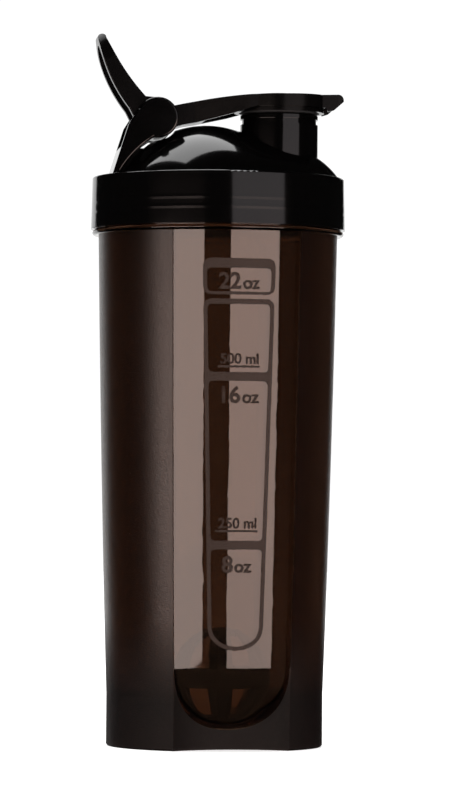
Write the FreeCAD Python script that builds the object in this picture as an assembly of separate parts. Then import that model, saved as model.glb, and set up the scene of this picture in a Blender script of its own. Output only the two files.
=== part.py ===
"""Protein shaker bottle of about 650 ml, in millimetres, standing on z = 0.

A tinted cup with a rounded bottom and two clear windows, a screw lid with a drinking spout, a flip
cap that plugs the spout, a carry loop on the same hinge pin, and a loose mixing ball inside.
The origin is the centre of the base, +Z is up and +X points from the hinge to the spout.
"""

import FreeCAD, Part
import math
import os

# Cup body: a slim cone on a straight foot
FOOT_RADIUS = 37.65
FOOT_HEIGHT = 18.0
FOOT_EDGE = 0.6
BODY_TOP_RADIUS = 41.65
BODY_TOP = 177.4
BODY_BULGE = 0.35  # how far the side of the body bows out of a straight line
CUP_WALL = 1.8
SKIRT_CAVITY_TOP = 18.0
# Windows, on the front and on the back
WINDOW_TURN = 5.0  # degrees from -Y towards +X
WINDOW_HALF_ANGLE = 32.5
WINDOW_STEP = 0.4
# Rounded bottom of the vessel, and the scoops that uncover it
BOTTOM_RADIUS = 24.0
BOTTOM_START = 28.4
SCOOP_RADIUS = 30.0
SCOOP_DISTANCE = 54.0
# Collar, neck and rim
COLLAR_RADIUS = 43.9
COLLAR_FLAT_RADIUS = 43.0
COLLAR_TOP = 179.2
NECK_RADIUS = 41.2
NECK_BORE = 39.8
RIM_TOP = 194.1
RIM_EDGE = 0.4
# Screw thread, right-handed
PITCH = 3.3
THREAD_TURNS = 2.1
THREAD_START = 183.6
THREAD_ROOT_WIDTH = 1.5
THREAD_CREST_WIDTH = 0.9
CUP_THREAD_DEPTH = 1.2
LID_THREAD_DEPTH = 1.3
THREAD_SINK = 0.4
# Lid ring
RING_BOTTOM = 179.6
RING_TOP = 197.6
RING_BOTTOM_RADIUS = 44.35
RING_TOP_RADIUS = 43.95
RING_EDGE = 0.6
RING_BORE = 42.85
TOP_PLATE = 1.6
# Gasket and the lip that holds it
LIP_INNER = 37.6
LIP_OUTER = 38.9
LIP_BOTTOM = 192.6
GASKET_INNER = 39.1
GASKET_OUTER = 42.6
GASKET_BOTTOM = 194.4
GASKET_TOP = 195.8
# Dome: the smooth skin over two spheres, the larger towards the hinge, the other under the spout
LID_WALL = 1.8
DOME_CENTRE = (-4.1, 181.9)
DOME_RADIUS = 34.2
NOSE_CENTRE = (21.2, 183.7)
NOSE_RADIUS = 25.5
# Drinking spout
SPOUT_X = 21.2
SPOUT_RADIUS = 13.6
SPOUT_BORE = 12.0
SPOUT_TOP = 220.2
SPOUT_EDGE = 0.5
SPOUT_GROOVE_RADIUS = 13.0
SPOUT_GROOVE = (216.6, 218.4)
# Hinge
PIN_X = -22.4
PIN_Z = 217.8
PIN_RADIUS = 2.0
PIN_CLEARANCE = 0.07
EAR_INNER = 10.3
EAR_OUTER = 13.0
EAR_HEAD_RADIUS = 7.1
EAR_SKIN = 1.2
EAR_EDGE = 0.7
EAR_BACK = [(-38.0, 198.0), (-32.6, 215.2), (-29.3, 220.6)]
EAR_FRONT_ARC = ((-27.1, 208.4), (-35.7, 198.0))  # keeps clear of the dome
EAR_FRONT_TOP = (-18.6, 213.5)
TOWER_BACK_TOP = 207.6
TOWER_BACK_WALL = 2.2
RIB_HALF = 4.0
RIB_END = -12.0
POCKET_RADIUS = 7.7
POCKET_WALL = 1.6
# Flip cap: its outline from the side and from above, and what hangs under its sheet
CAP_BARREL_RADIUS = 6.8
CAP_BACK = (-18.4, 222.0)
CAP_BACK_BOTTOM = 214.2
CAP_TOP_ARC = ((3.0, 225.7), (22.0, 226.5))
CAP_TAB_TOP = (40.6, 227.0)
CAP_TAB_ARC = ((42.4, 226.3), (42.8, 224.5))
CAP_UNDERSIDE = [
    (39.4, 221.5),
    (37.4, 220.9),
    (36.4, 222.3),
    (12.0, 222.3),
    (7.9, 221.0),
    (3.7, 219.7),
    (-8.0, 216.8),
    (-13.0, 215.9),
]
CAP_NECK_HALF = 6.9
CAP_NECK_END = -9.0
CAP_DISC_RADIUS = 17.0
CAP_DISC_TOUCH = (9.3, 14.4)
CAP_TAB_HALF = 9.5
CAP_TAB_END = 44.3
CAP_TAB_CORNER = 3.5
CAP_WALL = 1.6
CAP_SHEET = 1.9
CAP_EDGE = 0.3
CAP_LEVELS = (200.0, 240.0)  # any heights below and above the whole cap
HOLLOW_START = -5.5
HOUSING_RADIUS = 15.7
HOUSING_BORE = 14.1
HOUSING_BOTTOM = 220.8
HOUSING_TOP = 225.6
POST_RADIUS = 5.0
POST_BOTTOM = 217.2
# Stopper
STOPPER_RADIUS = 11.75
STOPPER_TIP_RADIUS = 11.3
STOPPER_BOTTOM = 214.8
STOPPER_FLANGE_RADIUS = 13.5
STOPPER_FLANGE = (220.5, 222.0)
# Carry loop, as a horn that leans back from the pin: x and z of its outline from the pin
HORN_START = (0.0, 0.0)
HORN_OUTLINE = [
    (1.5, 7.1),
    (-4.1, 7.5),
    ((-13.3, 19.6), (-17.8, 28.1)),
    ((-19.5, 29.4), (-20.5, 27.6)),
    ((-17.7, 17.1), (-9.8, 3.3)),
    (-6.8, -2.6),
]
LOOP_HALF = 10.0
LOOP_ARM = 2.8
LOOP_LEAN = 124.0  # degrees from +X towards +Z
LOOP_REACH = 36.3
LOOP_BAR = 3.8
LOOP_HUB_RADIUS = 6.5
LOOP_EDGE = 0.4
# Mixing ball
BALL_RADIUS = 17.4
BALL_WALL = 1.6
BALL_X = 2.0
BALL_GAP = 0.3
BALL_SLOTS = 6
SLOT_START = (6.5, 1.9)  # distance from the middle and half width, where a slot starts
SLOT_END = (20.0, 7.6)
SLOT_BOTTOM = 3.4
SNAP_DEPTH = 1.5
SNAP_HEIGHT = 2.0
SNAP_GAP = 0.2

V = FreeCAD.Vector
ORIGIN = V(0, 0, 0)
UP = V(0, 0, 1)
HINGE_AXIS = V(0, -1, 0)


def at(point):
    """A point (x, z) of the plane y = 0."""
    return V(point[0], 0, point[1])


def section(start, *steps):
    """A closed face in the plane y = 0. A step is a point, or a pair of points that an arc goes through."""
    edges = []
    here = start
    for step in (*steps, start):
        if isinstance(step[0], tuple):
            edges.append(Part.Arc(at(here), at(step[0]), at(step[1])).toShape())
            here = step[1]
        elif step != here:
            edges.append(Part.LineSegment(at(here), at(step)).toShape())
            here = step
    return Part.Face(Part.Wire(edges))


def turned(face, x=0.0):
    """The solid that a section makes when it turns about the vertical line through x."""
    moved = face.translated(V(x, 0, 0))
    return moved.revolve(V(x, 0, 0), UP, 360)


def pipe(outer, inner, bottom, top, x=0.0):
    return turned(section((inner, bottom), (outer, bottom), (outer, top), (inner, top)), x)


def disc(radius, bottom, top, x=0.0):
    return Part.makeCylinder(radius, top - bottom, V(x, 0, bottom))


def prism(half_outline, bottom, top):
    """An upright prism over an outline that is the same on both sides of the x axis."""
    right = [V(x, -half, bottom) for x, half in half_outline]
    left = [V(x, half, bottom) for x, half in reversed(half_outline)]
    return Part.Face(Part.makePolygon([*right, *left, right[0]])).extrude(V(0, 0, top - bottom))


def slab(face, near, far):
    """A section made thick from y = near to y = far."""
    return face.translated(V(0, near, 0)).extrude(V(0, far - near, 0))


def barrel(radius, near, far):
    """A round bar along the hinge pin."""
    return Part.makeCylinder(radius, far - near, V(PIN_X, near, PIN_Z), V(0, 1, 0))


def both_sides(shape):
    return shape.fuse(shape.mirror(ORIGIN, V(0, 1, 0)))


def egg(wall, bottom):
    """The skin over the dome's two spheres, shrunk by wall and cut off at this height."""
    big, small = DOME_RADIUS - wall, NOSE_RADIUS - wall
    (big_x, big_z), (small_x, small_z) = DOME_CENTRE, NOSE_CENTRE
    apart = math.hypot(small_x - big_x, small_z - big_z)
    tilt = math.atan2(small_z - big_z, small_x - big_x)
    turn = math.asin((big - small) / apart)

    def on_big(angle):
        return (big_x + big * math.cos(tilt + angle), big_z + big * math.sin(tilt + angle))

    def on_small(angle):
        return (small_x + small * math.cos(tilt + angle), small_z + small * math.sin(tilt + angle))

    touch = math.pi / 2 - turn
    half = section(
        on_big(math.pi),
        (on_big((math.pi + touch) / 2), on_big(touch)),
        on_small(touch),
        (on_small(touch / 2), on_small(0)),
    )
    axis = V(math.cos(tilt), 0, math.sin(tilt))
    whole = half.revolve(at(DOME_CENTRE), axis, 360)
    return whole.common(disc(RING_TOP_RADIUS, bottom, DOME_CENTRE[1] + DOME_RADIUS + 1))


def thread(radius, reach, start):
    """A helical ridge that stands on a wall of this radius and ends reach further out."""
    sink = -math.copysign(THREAD_SINK, reach)
    root = THREAD_ROOT_WIDTH / 2
    crest = THREAD_CREST_WIDTH / 2
    corners = [(sink, -root), (reach, -crest), (reach, crest), (sink, root)]
    points = [V(radius + dx, 0, dz) for dx, dz in corners]
    ridge = Part.makePolygon([*points, points[0]])
    helix = Part.Wire(Part.makeHelix(PITCH, PITCH * THREAD_TURNS, radius))
    solid = Part.Solid(helix.makePipeShell([ridge], True, True))
    return solid.translated(V(0, 0, start))


def body_radius(z):
    share = (z - FOOT_HEIGHT) / (BODY_TOP - FOOT_HEIGHT)
    bow = 4 * BODY_BULGE * share * (1 - share)
    return FOOT_RADIUS + share * (BODY_TOP_RADIUS - FOOT_RADIUS) + bow


def side_arc(bottom, inset, top_radius):
    """The arc of the body's side from this height to the body's top, moved in by inset."""
    middle = (bottom + BODY_TOP) / 2
    return ((body_radius(middle) - inset, middle), (top_radius, BODY_TOP))


def vessel(wall, top_radius, top):
    """The smooth vessel inside the cup: a cone with a rounded bottom, wall thinner than the windows."""
    side = body_radius(BOTTOM_START) - WINDOW_STEP
    centre = side - BOTTOM_RADIUS
    radius = BOTTOM_RADIUS - wall
    corner = radius * math.sqrt(0.5)
    return turned(
        section(
            (0, BOTTOM_START - radius),
            (centre, BOTTOM_START - radius),
            ((centre + corner, BOTTOM_START - corner), (side - wall, BOTTOM_START)),
            side_arc(BOTTOM_START, WINDOW_STEP + wall, BODY_TOP_RADIUS - WINDOW_STEP - wall),
            (top_radius, top),
            (0, top),
        )
    )


def window_side(shape, back):
    """Turns a shape made at +X to the front window, or to the back one."""
    return shape.rotated(ORIGIN, UP, WINDOW_TURN - 90 + (180 if back else 0))


def make_cup():
    cone = turned(
        section(
            (0, 0),
            (FOOT_RADIUS - FOOT_EDGE, 0),
            (FOOT_RADIUS, FOOT_EDGE),
            (FOOT_RADIUS, FOOT_HEIGHT),
            side_arc(FOOT_HEIGHT, 0, BODY_TOP_RADIUS),
            (COLLAR_FLAT_RADIUS, BODY_TOP),
            ((COLLAR_RADIUS, (BODY_TOP + COLLAR_TOP) / 2), (COLLAR_FLAT_RADIUS, COLLAR_TOP)),
            (NECK_RADIUS, COLLAR_TOP),
            (NECK_RADIUS, RIM_TOP - RIM_EDGE),
            (NECK_RADIUS - RIM_EDGE, RIM_TOP),
            (0, RIM_TOP),
        )
    )
    skin = vessel(0, BODY_TOP_RADIUS - WINDOW_STEP, BODY_TOP + 0.01)
    half = math.radians(WINDOW_HALF_ANGLE)
    reach = 2 * BODY_TOP_RADIUS
    corners = [V(reach * math.cos(a), reach * math.sin(a), BOTTOM_START) for a in (-half, half)]
    wedge = Part.Face(Part.makePolygon([V(0, 0, BOTTOM_START), *corners, V(0, 0, BOTTOM_START)]))
    window = wedge.extrude(V(0, 0, BODY_TOP - BOTTOM_START)).cut(skin)
    scoop = Part.makeCylinder(SCOOP_RADIUS, BOTTOM_START + 1, V(SCOOP_DISTANCE, 0, -1)).cut(skin)
    scoop_wall = Part.makeCylinder(SCOOP_RADIUS + CUP_WALL, BOTTOM_START, V(SCOOP_DISTANCE, 0, -1))
    hollow = disc(FOOT_RADIUS - CUP_WALL, -1, SKIRT_CAVITY_TOP).cut(skin)
    for back in (False, True):
        cone = cone.cut(window_side(window, back)).cut(window_side(scoop, back))
        hollow = hollow.cut(window_side(scoop_wall, back))
    inside = vessel(CUP_WALL, NECK_BORE, RIM_TOP + 0.01)
    return cone.fuse(thread(NECK_RADIUS, CUP_THREAD_DEPTH, THREAD_START)).cut(inside).cut(hollow)


def ball_centre():
    floor = BOTTOM_START - BOTTOM_RADIUS + CUP_WALL
    return V(BALL_X, 0, floor + BALL_GAP + BALL_RADIUS)


def make_ball_half(upper):
    """Half of an openwork ball. The upper half has the tongue that snaps into the lower half."""
    shell = Part.makeSphere(BALL_RADIUS).cut(Part.makeSphere(BALL_RADIUS - BALL_WALL))
    half = shell.common(disc(BALL_RADIUS + 1, 0, BALL_RADIUS + 1))
    slot = prism([SLOT_START, SLOT_END], SLOT_BOTTOM, SLOT_BOTTOM + BALL_RADIUS)
    for k in range(BALL_SLOTS):
        half = half.cut(slot.rotated(ORIGIN, UP, 360 * k / BALL_SLOTS))
    if upper:
        inner = BALL_RADIUS - BALL_WALL
        root = pipe(inner + 0.1, inner - SNAP_DEPTH, 0, SNAP_HEIGHT)
        tongue = pipe(inner - SNAP_GAP, inner - SNAP_DEPTH, -SNAP_HEIGHT, 0)
        half = half.fuse(root).fuse(tongue)
    else:
        half = half.rotated(ORIGIN, V(1, 0, 0), 180)
    return half.translated(ball_centre())


def ear_section():
    """Side outline of a hinge ear below its round head."""
    foot_x = EAR_FRONT_ARC[1][0]
    return section(
        (EAR_BACK[0][0], RING_TOP - 1),
        *EAR_BACK,
        (PIN_X, PIN_Z + EAR_HEAD_RADIUS / 2),
        EAR_FRONT_TOP,
        EAR_FRONT_ARC,
        (foot_x, RING_TOP - 1),
    )


def make_ears():
    plate = slab(ear_section(), EAR_INNER, EAR_OUTER)
    head = barrel(EAR_HEAD_RADIUS, EAR_INNER, EAR_OUTER)
    ear = plate.fuse(head).removeSplitter()
    rim = [e for e in ear.Edges if on_plane(e, EAR_OUTER) and e.BoundBox.ZMax > RING_TOP + 2]
    ear = ear.makeFillet(EAR_EDGE, rim)
    return both_sides(ear)


def on_plane(edge, y):
    return abs(edge.BoundBox.YMin - y) < 1e-4 and abs(edge.BoundBox.YMax - y) < 1e-4


def back_wall():
    """The slanted wall between the ears, and the rib that ties it to the dome."""
    (foot_x, foot_z), (top_x, top_z) = EAR_BACK[:2]
    edge_x = foot_x + (top_x - foot_x) * (TOWER_BACK_TOP - foot_z) / (top_z - foot_z)
    back = [(foot_x, RING_TOP - 1), (foot_x, foot_z), (edge_x, TOWER_BACK_TOP)]
    wall = section(
        *back, (edge_x + TOWER_BACK_WALL, TOWER_BACK_TOP), (foot_x + TOWER_BACK_WALL, RING_TOP - 1)
    )
    rib = section(*back, (RIB_END, TOWER_BACK_TOP), (RIB_END, RING_TOP - 1))
    return slab(wall, -EAR_INNER, EAR_INNER).fuse(slab(rib, -RIB_HALF, RIB_HALF))


def make_lid_shell():
    ring = turned(
        section(
            (0, RING_BOTTOM),
            (RING_BOTTOM_RADIUS, RING_BOTTOM),
            (RING_TOP_RADIUS, RING_TOP - RING_EDGE),
            (
                (RING_TOP_RADIUS - 0.3 * RING_EDGE, RING_TOP - 0.3 * RING_EDGE),
                (RING_TOP_RADIUS - RING_EDGE, RING_TOP),
            ),
            (0, RING_TOP),
        )
    )
    spout = turned(
        section(
            (0, RING_TOP),
            (SPOUT_RADIUS, RING_TOP),
            (SPOUT_RADIUS, SPOUT_GROOVE[0]),
            (SPOUT_GROOVE_RADIUS, SPOUT_GROOVE[0]),
            (SPOUT_GROOVE_RADIUS, SPOUT_GROOVE[1]),
            (SPOUT_RADIUS, SPOUT_GROOVE[1]),
            (SPOUT_RADIUS, SPOUT_TOP - SPOUT_EDGE),
            (SPOUT_RADIUS - SPOUT_EDGE, SPOUT_TOP),
            (0, SPOUT_TOP),
        ),
        SPOUT_X,
    )
    outside = egg(0, RING_TOP - 1).fuse(spout).fuse(ring)
    outside = outside.cut(barrel(POCKET_RADIUS, -EAR_INNER, EAR_INNER))
    outside = outside.fuse(make_ears()).fuse(back_wall())

    pocket_back = barrel(POCKET_RADIUS + POCKET_WALL, -EAR_INNER - POCKET_WALL, EAR_INNER + POCKET_WALL)
    hollow = egg(LID_WALL, RING_TOP - TOP_PLATE - 0.5).cut(pocket_back)
    hollow = hollow.fuse(disc(SPOUT_BORE, RING_TOP, SPOUT_TOP + 1, SPOUT_X))
    hollow = hollow.fuse(disc(RING_BORE, RING_BOTTOM - 1, RING_TOP - TOP_PLATE))

    lip = pipe(LIP_OUTER, LIP_INNER, LIP_BOTTOM, RING_TOP - TOP_PLATE + 0.2)
    ridge = thread(RING_BORE, -LID_THREAD_DEPTH, THREAD_START - PITCH / 2)
    pin_hole = barrel(PIN_RADIUS, EAR_SKIN - EAR_OUTER, EAR_OUTER - EAR_SKIN)
    return outside.cut(hollow).fuse(lip).fuse(ridge).cut(pin_hole)


def make_gasket():
    return pipe(GASKET_OUTER, GASKET_INNER, GASKET_BOTTOM, GASKET_TOP)


def make_pin():
    return barrel(PIN_RADIUS, EAR_SKIN - EAR_OUTER, EAR_OUTER - EAR_SKIN)


def lowered(step, drop):
    """A point or an arc of a section, moved down."""
    if isinstance(step[0], tuple):
        return tuple(lowered(point, drop) for point in step)
    return (step[0], step[1] - drop)


def cap_section(drop, underside):
    """Side outline of the flip cap, with its top lowered by drop, down to this underside."""
    top = [lowered(step, drop) for step in (CAP_BACK, CAP_TOP_ARC, CAP_TAB_TOP, CAP_TAB_ARC)]
    return section(*top, *underside)


def cap_plan(inset):
    """Upright prism over the outline of the cap seen from above, smaller by inset all round."""
    low, high = CAP_LEVELS
    neck = CAP_NECK_HALF - inset
    touch_x, touch = CAP_DISC_TOUCH
    touch -= inset
    arm = prism([(PIN_X, neck), (CAP_NECK_END, neck), (touch_x, touch), (SPOUT_X, touch)], low, high)
    half = CAP_TAB_HALF - inset
    tab = prism([(SPOUT_X, half), (CAP_TAB_END - inset, half)], low, high)
    corners = [e for e in tab.Edges if e.BoundBox.ZLength > 1 and e.BoundBox.XMin > SPOUT_X + 1]
    tab = tab.makeFillet(CAP_TAB_CORNER, corners)
    return arm.fuse(disc(CAP_DISC_RADIUS - inset, low, high, SPOUT_X)).fuse(tab).removeSplitter()


def rim_of(shape):
    """The edges between the upright walls of a shape and its top."""
    rim = []
    for edge in shape.Edges:
        rises = []
        for face in shape.ancestorsOfType(edge, Part.Face):
            u_low, u_high, v_low, v_high = face.ParameterRange
            rises.append(face.normalAt((u_low + u_high) / 2, (v_low + v_high) / 2).z)
        if max(rises) > 0.6 and min(abs(rise) for rise in rises) < 0.05:
            rim.append(edge)
    return rim


def make_flip_cap():
    low = CAP_LEVELS[0]
    outline = cap_section(0, [*CAP_UNDERSIDE, (CAP_BACK[0], CAP_BACK_BOTTOM)])
    outer = slab(outline, -CAP_DISC_RADIUS, CAP_DISC_RADIUS).common(cap_plan(0)).removeSplitter()
    outer = outer.makeFillet(CAP_EDGE, rim_of(outer))
    under_sheet = cap_section(CAP_SHEET, [(CAP_TAB_END, low), (CAP_BACK[0], low)])
    hollow = slab(under_sheet, -CAP_DISC_RADIUS, CAP_DISC_RADIUS).common(cap_plan(CAP_WALL))
    hollow = hollow.cut(prism([(PIN_X, CAP_DISC_RADIUS), (HOLLOW_START, CAP_DISC_RADIUS)], *CAP_LEVELS))
    housing = pipe(HOUSING_RADIUS, HOUSING_BORE, HOUSING_BOTTOM, HOUSING_TOP, SPOUT_X)
    post = disc(POST_RADIUS, POST_BOTTOM, HOUSING_TOP, SPOUT_X)
    hub = barrel(CAP_BARREL_RADIUS, -CAP_NECK_HALF, CAP_NECK_HALF)
    bore = barrel(PIN_RADIUS + PIN_CLEARANCE, -CAP_NECK_HALF - 1, CAP_NECK_HALF + 1)
    return outer.cut(hollow).fuse(housing).fuse(post).fuse(hub).cut(bore)


def make_stopper():
    return turned(
        section(
            (0, STOPPER_BOTTOM),
            (STOPPER_TIP_RADIUS, STOPPER_BOTTOM),
            (STOPPER_RADIUS, STOPPER_BOTTOM + 2),
            (STOPPER_RADIUS, STOPPER_FLANGE[0]),
            (STOPPER_FLANGE_RADIUS, STOPPER_FLANGE[0]),
            (STOPPER_FLANGE_RADIUS, STOPPER_FLANGE[1]),
            (POST_RADIUS, STOPPER_FLANGE[1]),
            (POST_RADIUS, POST_BOTTOM),
            (0, POST_BOTTOM),
        ),
        SPOUT_X,
    )


def make_carry_loop():
    horn = section(HORN_START, *HORN_OUTLINE).translated(V(PIN_X, 0, PIN_Z))
    hub = barrel(LOOP_HUB_RADIUS, -LOOP_HALF, LOOP_HALF)
    solid = slab(horn, -LOOP_HALF, LOOP_HALF).fuse(hub).removeSplitter()
    inner = LOOP_HALF - LOOP_ARM
    outline = arch(LOOP_HALF, -20, LOOP_REACH)
    opening = arch(inner, -20, LOOP_REACH - LOOP_BAR)
    bore = barrel(PIN_RADIUS + PIN_CLEARANCE, -LOOP_HALF - 1, LOOP_HALF + 1)
    loop = solid.common(outline).cut(opening).removeSplitter()
    sides = [e for e in loop.Edges if on_plane(e, LOOP_HALF) or on_plane(e, -LOOP_HALF)]
    return loop.makeFillet(LOOP_EDGE, sides).cut(bore)


def arch(half, start, end):
    """A thick arch that points along the loop's lean, from start to end past the pin."""
    shape = Part.makeBox(end - half - start, 2 * half, 60, V(start, -half, -30))
    shape = shape.fuse(Part.makeCylinder(half, 60, V(end - half, 0, -30))).removeSplitter()
    return shape.rotated(ORIGIN, HINGE_AXIS, LOOP_LEAN).translated(V(PIN_X, 0, PIN_Z))


def main():
    os.makedirs("parts", exist_ok=True)
    pieces = {
        "cup": make_cup(),
        "mixing_ball_upper": make_ball_half(True),
        "mixing_ball_lower": make_ball_half(False),
        "lid_shell": make_lid_shell(),
        "lid_gasket": make_gasket(),
        "hinge_pin": make_pin(),
        "flip_cap": make_flip_cap(),
        "spout_stopper": make_stopper(),
        "carry_loop": make_carry_loop(),
    }
    for name, shape in pieces.items():
        box = shape.BoundBox
        low = " ".join(f"{v:.1f}" for v in (box.XMin, box.YMin, box.ZMin))
        high = " ".join(f"{v:.1f}" for v in (box.XMax, box.YMax, box.ZMax))
        state = f"{len(shape.Solids)} solid, valid {shape.isValid()}, {shape.Volume / 1000:.2f} ml"
        print(f"{name}: {state}, from {low} to {high}")
        shape.exportStep(f"parts/{name}.step")


main()
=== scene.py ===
"""Looks of the protein shaker bottle: smoke plastic, matt volume scale, black lid, studio."""

import math

import bmesh
import bpy
from mathutils import Matrix, Vector


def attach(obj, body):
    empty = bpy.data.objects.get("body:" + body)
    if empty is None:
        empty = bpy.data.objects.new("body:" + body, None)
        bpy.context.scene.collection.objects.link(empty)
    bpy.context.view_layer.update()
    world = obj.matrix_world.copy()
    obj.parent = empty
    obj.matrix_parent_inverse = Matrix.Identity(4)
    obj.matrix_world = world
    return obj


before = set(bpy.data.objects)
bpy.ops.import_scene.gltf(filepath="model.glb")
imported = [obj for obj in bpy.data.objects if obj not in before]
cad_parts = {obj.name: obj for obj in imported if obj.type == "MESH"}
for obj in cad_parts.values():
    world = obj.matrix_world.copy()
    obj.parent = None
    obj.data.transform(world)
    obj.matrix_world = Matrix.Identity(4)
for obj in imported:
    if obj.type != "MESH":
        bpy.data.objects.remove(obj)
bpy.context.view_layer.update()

MM = 0.001

# Camera: a long lens a few degrees to the left of the front, at the height of the cup's middle
VIEW_AZIMUTH = math.radians(-6.0)
VIEW_DISTANCE = 1.45
EYE_HEIGHT = 0.0893
AIM_HEIGHT = 0.1204
AIM_RIGHT = 0.0038
CAMERA_ROLL = math.radians(0.45)
LENS = 187.0
SENSOR_WIDTH = 36.0

# Cup: the facts of its shape that the relief and the two finishes need, in metres
FOOT_RADIUS = 37.65 * MM
FOOT_HEIGHT = 18.0 * MM
BODY_TOP_RADIUS = 41.65 * MM
BODY_TOP = 177.4 * MM
BODY_BULGE = 0.35 * MM
WINDOW_STEP = 0.4 * MM
WINDOW_AZIMUTH = math.radians(5.0)
WINDOW_HALF_ANGLE = math.radians(32.5)
VESSEL_SIDE_START = 28.4 * MM
BOTTOM_RADIUS = 24.0 * MM
CUP_WALL = 1.8 * MM
# Lid ring, and where its sink lines run as shares of its height
RING_BOTTOM = 179.6 * MM
RING_TOP = 197.6 * MM
SINK_LINES = (0.32, 0.5)
SINK_HALF_WIDTH = 0.05


def body_radius(z):
    share = (z - FOOT_HEIGHT) / (BODY_TOP - FOOT_HEIGHT)
    bow = 4 * BODY_BULGE * share * (1 - share)
    return FOOT_RADIUS + share * (BODY_TOP_RADIUS - FOOT_RADIUS) + bow


def right_of(azimuth):
    return Vector((math.cos(azimuth), math.sin(azimuth), 0))


def towards(azimuth):
    """The direction from the object to a viewer at this azimuth."""
    return Vector((math.sin(azimuth), -math.cos(azimuth), 0))


# ---------------------------------------------------------------- materials


class Shader:
    """A material with a Principled shader, and short calls that add nodes to it."""

    def __init__(self, name, **values):
        self.material = bpy.data.materials.new(name)
        self.material.use_nodes = True
        self.tree = self.material.node_tree
        self.main = self.tree.nodes["Principled BSDF"]
        self.out = self.tree.nodes["Material Output"]
        for socket, value in values.items():
            self.main.inputs[socket.replace("_", " ")].default_value = value
        coords = self.tree.nodes.new("ShaderNodeTexCoord")
        self.place = coords.outputs["Object"]

    def node(self, kind, **inputs):
        new = self.tree.nodes.new("ShaderNode" + kind)
        for socket, value in inputs.items():
            socket = new.inputs[socket.replace("_", " ")]
            if isinstance(value, bpy.types.NodeSocket):
                self.tree.links.new(value, socket)
            else:
                socket.default_value = value
        return new

    def noise(self, scale, detail=3.0, roughness=0.5):
        return self.node("TexNoise", Vector=self.place, Scale=scale, Detail=detail, Roughness=roughness)

    def spread(self, value, low, high):
        """Maps a 0 to 1 pattern to a range."""
        return self.node("MapRange", Value=value, To_Min=low, To_Max=high).outputs[0]

    def feed(self, socket, value):
        self.tree.links.new(value, self.main.inputs[socket])

    def bump(self, height, distance, strength=1.0, after=None):
        bump = self.node("Bump", Height=height, Distance=distance, Strength=strength)
        if after is not None:
            self.tree.links.new(after, bump.inputs["Normal"])
        self.feed("Normal", bump.outputs[0])


# The plastic tints light where it enters and where it leaves a wall
SMOKE_TINT = (0.122, 0.068, 0.041, 1)
# Frosted finish: its tint on the sides, the darker colour of the foot and its scoops, which is painted
# shade, and the heights between which the tint changes into that painted shade
SIDE_TINT = (0.042, 0.019, 0.011, 1)
FOOT_PAINTED_SHADE = (0.012, 0.0055, 0.005, 1)
PAINTED_SHADE_LOW = 16.0 * MM
PAINTED_SHADE_HIGH = 45.0 * MM


def clear_smoke():
    """Polished tinted plastic, with the faint ripple of a moulded wall."""
    s = Shader("smoke_clear", Transmission_Weight=1.0, IOR=1.56, Base_Color=SMOKE_TINT)
    s.feed("Roughness", s.spread(s.noise(60.0).outputs[0], 0.015, 0.05))
    s.bump(s.noise(45.0, 1.0).outputs[0], 0.00004, 0.5)
    return s.material


def frosted_smoke():
    """The same plastic with a fine grain, on the grip sides, and coarser in the foot, whose colour is
    darkened towards the bottom as painted shade.
    """
    s = Shader("smoke_frosted", Transmission_Weight=1.0, IOR=1.56)
    height = s.node("SeparateXYZ", Vector=s.place).outputs[2]
    # Painted shade: below these heights the foot and its scoops get a darker colour, darkest at the
    # bottom
    share = s.node("MapRange", Value=height, From_Min=PAINTED_SHADE_LOW, From_Max=PAINTED_SHADE_HIGH)
    ramp = s.node("ValToRGB", Fac=share.outputs[0])
    ramp.color_ramp.elements[0].color = FOOT_PAINTED_SHADE
    ramp.color_ramp.elements[1].color = SIDE_TINT
    s.feed("Base Color", ramp.outputs[0])
    smoothest = s.spread(share.outputs[0], 0.6, 0.24)
    roughest = s.spread(share.outputs[0], 0.8, 0.42)
    s.feed("Roughness", s.spread(s.noise(900.0, 2.0).outputs[0], smoothest, roughest))
    s.bump(s.noise(1800.0, 2.0, 0.6).outputs[0], 0.00007, 0.9)
    return s.material


def relief_film():
    """Fine matt relief of the volume scale."""
    s = Shader("relief_matt", Base_Color=(0.034, 0.0155, 0.0085, 1), Roughness=0.55, Alpha=0.74)
    s.bump(s.noise(3000.0, 2.0, 0.6).outputs[0], 0.0001, 0.6)
    return s.material


def black_gloss():
    """Polished black lid: slow waves of shrinkage, fine haze and two sink lines in the ring."""
    s = Shader("lid_gloss", Base_Color=(0.0008, 0.0007, 0.0007, 1), IOR=1.5)
    s.feed("Roughness", s.spread(s.noise(90.0, 4.0).outputs[0], 0.07, 0.12))
    height = s.node("SeparateXYZ", Vector=s.place).outputs[2]
    share = s.node("MapRange", Value=height, From_Min=RING_BOTTOM, From_Max=RING_TOP).outputs[0]
    ramp = s.node("ValToRGB", Fac=share)
    stops = ramp.color_ramp.elements
    stops[0].color = stops[1].color = (0, 0, 0, 1)
    for middle in SINK_LINES:
        for aside, level in ((-SINK_HALF_WIDTH, 0), (0, 1), (SINK_HALF_WIDTH, 0)):
            stops.new(middle + aside).color = (level, level, level, 1)
    sink = s.node("Bump", Height=ramp.outputs[0], Distance=0.00003, Strength=0.7)
    s.bump(s.noise(38.0, 1.0).outputs[0], 0.00005, 0.5, after=sink.outputs[0])
    return s.material


def black_satin(name, low=0.15, high=0.26):
    """Satin black for the flip cap, the loop and the pin."""
    s = Shader(name, Base_Color=(0.0014, 0.0012, 0.0012, 1), IOR=1.45, Specular_IOR_Level=0.16)
    s.feed("Roughness", s.spread(s.noise(160.0, 4.0).outputs[0], low, high))
    s.bump(s.noise(1400.0, 3.0).outputs[0], 0.00002, 0.6)
    return s.material


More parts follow.
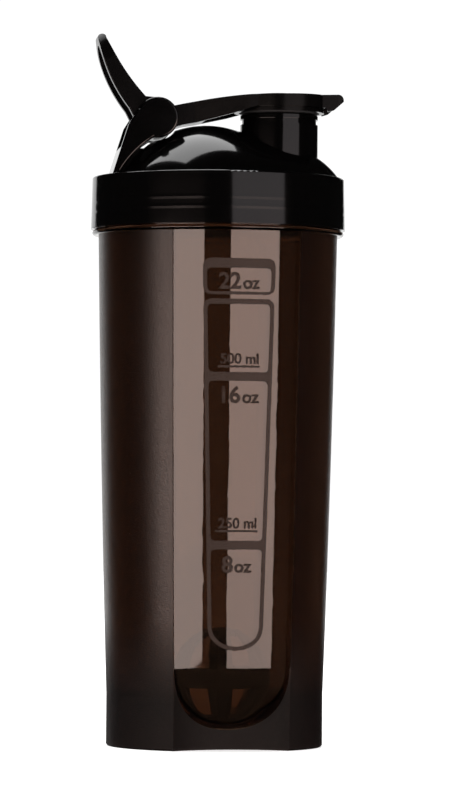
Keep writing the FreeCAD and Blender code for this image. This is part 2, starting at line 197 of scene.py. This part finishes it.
def silicone():
    """Soft matt rubber for the gasket and the stopper."""
    s = Shader("silicone", Base_Color=(0.02, 0.02, 0.021, 1), IOR=1.43)
    s.feed("Roughness", s.spread(s.noise(300.0).outputs[0], 0.5, 0.65))
    s.bump(s.noise(900.0).outputs[0], 0.00003, 0.6)
    return s.material


# ---------------------------------------------------------------- CAD nodes


def dress(node, material):
    """Gives a CAD node its material."""
    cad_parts[node].material_slots[0].material = material


def on_frosted_side(centre, normal):
    """True for a face on the outside of the grip sides, the foot or a scoop."""
    if centre.z > BODY_TOP - 0.2 * MM:
        return False
    if centre.z < VESSEL_SIDE_START:
        # Below this height the clear vessel is a flat floor with a rounded rim
        radius = math.hypot(centre.x, centre.y)
        floor_radius = body_radius(VESSEL_SIDE_START) - WINDOW_STEP - BOTTOM_RADIUS
        if radius < floor_radius:
            return centre.z < VESSEL_SIDE_START - BOTTOM_RADIUS - 0.5 * MM
        from_rim = math.hypot(radius - floor_radius, centre.z - VESSEL_SIDE_START)
        return from_rim > BOTTOM_RADIUS + 0.15 * MM
    turn = math.atan2(centre.x, -centre.y) - WINDOW_AZIMUTH
    turn = (turn + math.pi / 2) % math.pi - math.pi / 2
    if abs(turn) < WINDOW_HALF_ANGLE - 0.002:
        return False
    return normal.x * centre.x + normal.y * centre.y > 0


def dress_cup():
    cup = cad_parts["cup"]
    cup.material_slots[0].material = clear_smoke()
    cup.data.materials.append(frosted_smoke())
    for face in cup.data.polygons:
        face.material_index = 1 if on_frosted_side(face.center, face.normal) else 0


# ---------------------------------------------------------------- volume scale

FILM_LIFT = 0.03 * MM
FILM_TOP = 0.18 * MM
# Frame bands, from the top: outer top and bottom, then the inner cells' top and bottom
SCALE_TOP = 167.8 * MM
FIRST_FRAME_BOTTOM = 155.4 * MM
SECOND_FRAME_TOP = 154.0 * MM
SCALE_BOTTOM = 34.4 * MM
CELLS = [
    (164.5 * MM, 156.4 * MM),
    (152.2 * MM, 129.1 * MM),
    (126.1 * MM, 71.8 * MM),
    (68.8 * MM, 35.8 * MM),
]
BAND = 1.35 * MM
CORNER = 1.6 * MM


CELL_HALF_WIDTH = 7.25 * MM
CELL_TAPER = 0.0255
# Lettering: the strokes are thickened by this share of their height
STROKE = 0.03


def cell_half_width(z):
    return CELL_HALF_WIDTH + CELL_TAPER * z


def wrapped(s, z, lift):
    """A point of the window's surface: s along its curve from the middle, lift above it."""
    radius = body_radius(max(z, VESSEL_SIDE_START)) - WINDOW_STEP
    azimuth = WINDOW_AZIMUTH + s / radius
    return towards(azimuth) * (radius + lift) + Vector((0, 0, z))


def rounded_cell(top, bottom, grow, corner, round_end=False, steps=6):
    """Outline of a cell that follows the scale's taper, grown by this much, anticlockwise."""
    outline = []
    high, low = top + grow, bottom - grow
    end = cell_half_width(low) + grow if round_end else corner
    stretch = 0.8 if round_end else 1.0
    corners = [
        (1, -1, low, end, stretch),
        (1, 1, high, corner, 1.0),
        (-1, 1, high, corner, 1.0),
        (-1, -1, low, end, stretch),
    ]
    for side, up, level, radius, lift in corners:
        for k in range(steps + 1):
            share = k / steps
            angle = (share if side == up else 1 - share) * math.pi / 2
            z = level - up * radius * lift * (1 - math.sin(angle))
            half = cell_half_width(z) + grow
            outline.append((side * (half - radius * (1 - math.cos(angle))), z))
    return outline


def fill_outlines(outlines):
    """A flat mesh filled between outlines, holes and all."""
    curve = bpy.data.curves.new("outline", "CURVE")
    curve.dimensions = "2D"
    curve.fill_mode = "BOTH"
    for outline in outlines:
        spline = curve.splines.new("POLY")
        spline.points.add(len(outline) - 1)
        for point, (s, z) in zip(spline.points, outline):
            point.co = (s, z, 0, 1)
        spline.use_cyclic_u = True
    return flat_mesh(curve)


def flat_mesh(curve):
    """Turns a 2D curve or a text into a bmesh and removes the curve."""
    holder = bpy.data.objects.new("holder", curve)
    bpy.context.scene.collection.objects.link(holder)
    bpy.context.view_layer.update()
    mesh = bpy.data.meshes.new_from_object(holder.evaluated_get(bpy.context.evaluated_depsgraph_get()))
    bpy.data.objects.remove(holder)
    work = bmesh.new()
    work.from_mesh(mesh)
    bpy.data.meshes.remove(mesh)
    return work


def slice_upright(work, step):
    """Cuts the flat mesh along s every step, so that it can follow the cup."""
    reach = max(abs(v.co.x) for v in work.verts)
    count = int(reach / step)
    for k in range(-count, count + 1):
        everything = work.verts[:] + work.edges[:] + work.faces[:]
        bmesh.ops.bisect_plane(work, geom=everything, plane_co=(k * step, 0, 0), plane_no=(1, 0, 0))


def relief_piece(name, work, place_z=0.0, place_s=0.0, strip=1.2 * MM):
    """Wraps a flat mesh round the window as a thin raised film and rides it on the cup."""
    for v in work.verts:
        v.co.x += place_s
        v.co.y += place_z
    slice_upright(work, strip)
    bmesh.ops.remove_doubles(work, verts=work.verts, dist=1e-7)
    for v in work.verts:
        v.co.z = 0
    bottom = work.faces[:]
    raised = bmesh.ops.extrude_face_region(work, geom=bottom)["geom"]
    top = {v for v in raised if isinstance(v, bmesh.types.BMVert)}
    for v in work.verts:
        v.co = wrapped(v.co.x, v.co.y, FILM_TOP if v in top else FILM_LIFT)
    bmesh.ops.recalc_face_normals(work, faces=work.faces)
    mesh = bpy.data.meshes.new(name)
    work.to_mesh(mesh)
    work.free()
    piece = bpy.data.objects.new(name, mesh)
    bpy.context.scene.collection.objects.link(piece)
    mesh.materials.append(relief)
    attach(piece, "cup")


def scale_frames():
    inner = [rounded_cell(*cell, 0, CORNER, round_end=cell is CELLS[-1]) for cell in CELLS]
    first = rounded_cell(SCALE_TOP - BAND, FIRST_FRAME_BOTTOM + BAND, BAND, CORNER + BAND)
    rest = rounded_cell(SECOND_FRAME_TOP - BAND, SCALE_BOTTOM + BAND, BAND, CORNER + BAND, round_end=True)
    relief_piece("scale_frame_top", fill_outlines([first, inner[0]]))
    relief_piece("scale_frame_rest", fill_outlines([rest, *inner[1:]]))


def lettering(name, words, size, s, z):
    """Plain raised figures of the volume scale, their left end at s and their foot at z."""
    curve = bpy.data.curves.new(name, "FONT")
    curve.body = words
    curve.size = size
    curve.offset = STROKE * size
    relief_piece(name, flat_mesh(curve), z, s, strip=2.0 * MM)


def bar(name, left, right, bottom, top):
    """The line under a mark."""
    outline = [(left, bottom), (right, bottom), (right, top), (left, top)]
    relief_piece(name, fill_outlines([outline]))


def volume_scale():
    scale_frames()
    for figures, z, s in (("22", 157.5, -7.3), ("16", 118.7, -7.2), ("8", 61.1, -5.2)):
        lettering(f"scale_{figures}", figures, 7.7 * MM, s * MM, z * MM)
        unit = s + (8.3 if len(figures) == 2 else 4.3)
        lettering(f"scale_{figures}_unit", "oz", 6.0 * MM, unit * MM, z * MM)
    for figures, z in (("500 ml", 132.0), ("250 ml", 76.1)):
        name = "scale_" + figures.replace(" ", "_")
        lettering(name, figures, 4.9 * MM, -6.6 * MM, z * MM)
        bar(name + "_line", -7.4 * MM, 7.2 * MM, (z - 1.4) * MM, (z - 0.65) * MM)


# ---------------------------------------------------------------- studio


def panel(name, centre, target, width, height):
    """An upright or level rectangle that faces the target."""
    mesh = bpy.data.meshes.new(name)
    w, h = width / 2, height / 2
    mesh.from_pydata([(-w, -h, 0), (w, -h, 0), (w, h, 0), (-w, h, 0)], [], [(0, 1, 2, 3)])
    piece = bpy.data.objects.new(name, mesh)
    bpy.context.scene.collection.objects.link(piece)
    piece.location = centre
    piece.rotation_euler = (Vector(target) - Vector(centre)).to_track_quat("Z", "Y").to_euler()
    return piece


def area_light(name, centre, target, width, height, radiance):
    light = bpy.data.lights.new(name, "AREA")
    light.shape = "RECTANGLE"
    light.size = width
    light.size_y = height
    light.energy = radiance * math.pi * width * height
    lamp = bpy.data.objects.new(name, light)
    bpy.context.scene.collection.objects.link(lamp)
    lamp.location = centre
    lamp.rotation_euler = (Vector(target) - Vector(centre)).to_track_quat("-Z", "Y").to_euler()
    return lamp


def plain_material(name, colour, glow=0.0):
    s = Shader(name, Base_Color=(*colour, 1), Roughness=0.9)
    s.main.inputs["Emission Color"].default_value = (1, 1, 1, 1)
    s.main.inputs["Emission Strength"].default_value = glow
    return s.material


def reflected_black():
    """Black in reflections only: light that comes through the plastic passes it."""
    material = plain_material("surround_black", (0.002, 0.002, 0.002))
    nodes, links = material.node_tree.nodes, material.node_tree.links
    mix = nodes.new("ShaderNodeMixShader")
    links.new(nodes.new("ShaderNodeLightPath").outputs["Is Transmission Ray"], mix.inputs[0])
    links.new(nodes["Principled BSDF"].outputs[0], mix.inputs[1])
    links.new(nodes.new("ShaderNodeBsdfTransparent").outputs[0], mix.inputs[2])
    links.new(mix.outputs[0], nodes["Material Output"].inputs["Surface"])
    return material


WORLD_LEVEL = 1.05
FLOOR_SIZE = 6.0
FLOOR_GLOW = 0.45
# Light strips: side, bottom, top, radiance and colour
STRIPS = {
    "strip_left": (-1, -0.08, 0.235, 4.2, (1.0, 0.8, 0.72)),
    "strip_right": (1, -0.08, 0.235, 3.95, (1.0, 0.76, 0.67)),
    "strip_right_upper": (1, 0.235, 0.6, 0.8, (1.0, 0.92, 0.94)),
}
STRIP_ANGLE = math.radians(37)
STRIP_DISTANCE = 0.95
STRIP_WIDTH = 0.86
# Overhead light: its place behind, to the left and up, its size and its radiance
OVERHEAD_BACK = 0.32
OVERHEAD_LEFT = 0.2
OVERHEAD_HEIGHT = 1.15
OVERHEAD_SIZE = (1.0, 0.9)
OVERHEAD_RADIANCE = 4.1
OVERHEAD_AIM = 0.11
# Dark surround: a sphere with a round gap behind the object, turned a little from the camera's line
SURROUND_RADIUS = 3.0
GAP_HALF_ANGLE = math.radians(27)
GAP_TURN = math.radians(8)


def make_studio():
    world = bpy.data.worlds.new("studio_white")
    world.use_nodes = True
    background = world.node_tree.nodes["Background"]
    background.inputs["Color"].default_value = (1, 1, 1, 1)
    background.inputs["Strength"].default_value = WORLD_LEVEL
    bpy.context.scene.world = world
    bpy.context.scene.view_settings.view_transform = "Standard"

    floor = panel("floor", (0, 0, 0), (0, 0, 1), FLOOR_SIZE, FLOOR_SIZE)
    floor.data.materials.append(plain_material("floor_pale", (0.8, 0.8, 0.8), FLOOR_GLOW))
    floor.visible_glossy = False

    for name, (side, bottom, top, radiance, colour) in STRIPS.items():
        azimuth = VIEW_AZIMUTH + side * STRIP_ANGLE
        centre = towards(azimuth) * STRIP_DISTANCE + Vector((0, 0, (top + bottom) / 2))
        lamp = area_light(name, centre, Vector((0, 0, centre.z)), STRIP_WIDTH, top - bottom, radiance)
        lamp.data.color = colour
    behind = -towards(VIEW_AZIMUTH) * OVERHEAD_BACK
    overhead = behind - right_of(VIEW_AZIMUTH) * OVERHEAD_LEFT + Vector((0, 0, OVERHEAD_HEIGHT))
    area_light("overhead", overhead, Vector((0, 0, OVERHEAD_AIM)), *OVERHEAD_SIZE, OVERHEAD_RADIANCE)
    make_surround()


def make_surround():
    """A dark sphere that only reflections see, so that the gloss has black between its lights."""
    mesh = bpy.data.meshes.new("dark_surround")
    work = bmesh.new()
    bmesh.ops.create_uvsphere(work, u_segments=96, v_segments=48, radius=SURROUND_RADIUS)
    gap = -towards(VIEW_AZIMUTH + GAP_TURN)
    edge = math.cos(GAP_HALF_ANGLE)
    open_faces = [f for f in work.faces if f.calc_center_median().normalized().dot(gap) > edge]
    bmesh.ops.delete(work, geom=open_faces, context="FACES")
    work.to_mesh(mesh)
    work.free()
    surround = bpy.data.objects.new("dark_surround", mesh)
    bpy.context.scene.collection.objects.link(surround)
    surround.data.materials.append(reflected_black())
    surround.visible_camera = False
    surround.visible_diffuse = False
    surround.visible_transmission = False
    surround.visible_shadow = False
    surround.visible_volume_scatter = False


def make_camera():
    camera = bpy.data.cameras.new("camera")
    camera.lens = LENS
    camera.sensor_width = SENSOR_WIDTH
    camera.clip_start = 0.01
    holder = bpy.data.objects.new("camera", camera)
    bpy.context.scene.collection.objects.link(holder)
    aside = right_of(VIEW_AZIMUTH) * AIM_RIGHT
    eye = towards(VIEW_AZIMUTH) * VIEW_DISTANCE + aside + Vector((0, 0, EYE_HEIGHT))
    aim = aside + Vector((0, 0, AIM_HEIGHT))
    facing = (aim - eye).to_track_quat("-Z", "Y").to_matrix().to_4x4()
    holder.matrix_world = facing @ Matrix.Rotation(CAMERA_ROLL, 4, "Z")
    holder.location = eye
    bpy.context.scene.camera = holder


relief = relief_film()
satin = black_satin("satin_black")
rubber = silicone()
ball = black_satin("ball_black", 0.35, 0.5)

make_camera()
make_studio()
dress_cup()
dress("lid_shell", black_gloss())
for node in ("flip_cap", "carry_loop", "hinge_pin"):
    dress(node, satin)
for node in ("lid_gasket", "spout_stopper"):
    dress(node, rubber)
for node in ("mixing_ball_upper", "mixing_ball_lower"):
    dress(node, ball)
volume_scale()
